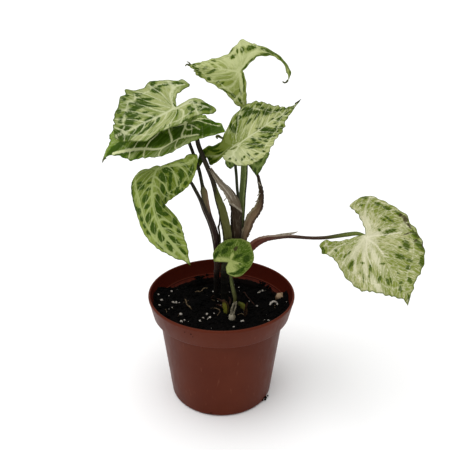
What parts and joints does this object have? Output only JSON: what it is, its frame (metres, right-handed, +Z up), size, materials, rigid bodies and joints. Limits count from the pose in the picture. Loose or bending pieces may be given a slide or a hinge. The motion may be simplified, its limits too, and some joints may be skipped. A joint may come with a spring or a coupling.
{
  "type": "potted batik syngonium",
  "caption": "Young arrowhead vine with marbled cream and green arrow-shaped leaves on upright stalks, growing in soil in a round brown plastic nursery pot.",
  "frame": {"origin": "centre of the pot's flat base, on the ground", "axes": "+Z up, +Y away from the side that the leaves face, +X to the right seen from that side"},
  "size_m": [0.2136, 0.1185, 0.2543],
  "materials": {
    "pot_plastic": "satin red-brown moulded plastic, lighter where it reflects",
    "soil": "damp near-black potting soil with white perlite and fibres",
    "cream_leaf": "satin leaf, cream to pale green with dark green streaks between the veins",
    "mid_leaf": "satin leaf, mid green with lime veins and dark patches",
    "dark_leaf": "satin leaf, dark green with thin cream veins",
    "green_stalk": "smooth fleshy green stalk",
    "brown_stalk": "smooth dark brown-green stalk",
    "green_sheath": "olive green papery sheath",
    "dry_sheath": "dry brown papery sheath with fine parallel fibres"
  },
  "bodies": {
    "root": {"pot": "pot_plastic", "soil": "soil", "stem_main": "green_stalk", "stem_side": "brown_stalk", "petiole_left_upper": "green_sheath", "petiole_left_lower": "brown_stalk", "petiole_left_hanging": "brown_stalk", "petiole_centre": "brown_stalk", "petiole_top": "green_stalk", "petiole_back": "dry_sheath", "petiole_right": "brown_stalk", "petiole_seedling": "green_stalk", "sheath_centre": "dry_sheath", "scale_left": "green_sheath", "scale_right": "dry_sheath", "leaf_left_upper": "cream_leaf", "leaf_left_lower": "dark_leaf", "leaf_left_hanging": "mid_leaf", "leaf_centre": "cream_leaf", "leaf_top": "cream_leaf", "leaf_back": "mid_leaf", "leaf_right": "cream_leaf", "leaf_seedling": "mid_leaf"}
  },
  "joints": []
}
